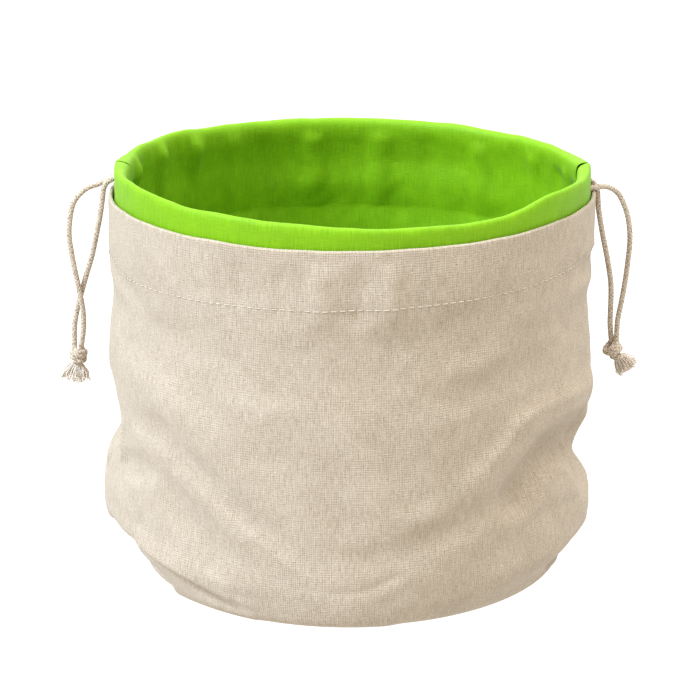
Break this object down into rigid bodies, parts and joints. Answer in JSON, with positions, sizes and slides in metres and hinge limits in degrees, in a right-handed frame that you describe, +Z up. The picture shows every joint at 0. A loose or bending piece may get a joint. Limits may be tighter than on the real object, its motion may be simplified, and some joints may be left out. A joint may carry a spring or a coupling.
{
  "type": "linen bread bag with drawcords",
  "caption": "Upright round drawstring bag of natural linen, open at the mouth, with a green cotton lining folded up as a collar and a knotted cord at each side.",
  "frame": {"origin": "centre of the flat base, on the surface that the bag stands on", "axes": "+Z up through the mouth, -Y the front panel, +X the right side seam"},
  "size_m": [0.358, 0.2987, 0.2493],
  "materials": {
    "linen": "natural linen, plain weave, with slubs and dark flecks",
    "green_cotton": "bright green plain cotton, matt",
    "cotton_cord": "braided natural cotton cord with brown flecks"
  },
  "bodies": {
    "root": {"shell_front": "linen", "shell_back": "linen", "shell_base": "linen", "lining_front": "green_cotton", "lining_back": "green_cotton", "lining_base": "green_cotton", "drawcord_left": "cotton_cord", "drawcord_right": "cotton_cord", "knot_left": "cotton_cord", "knot_right": "cotton_cord"}
  },
  "joints": []
}
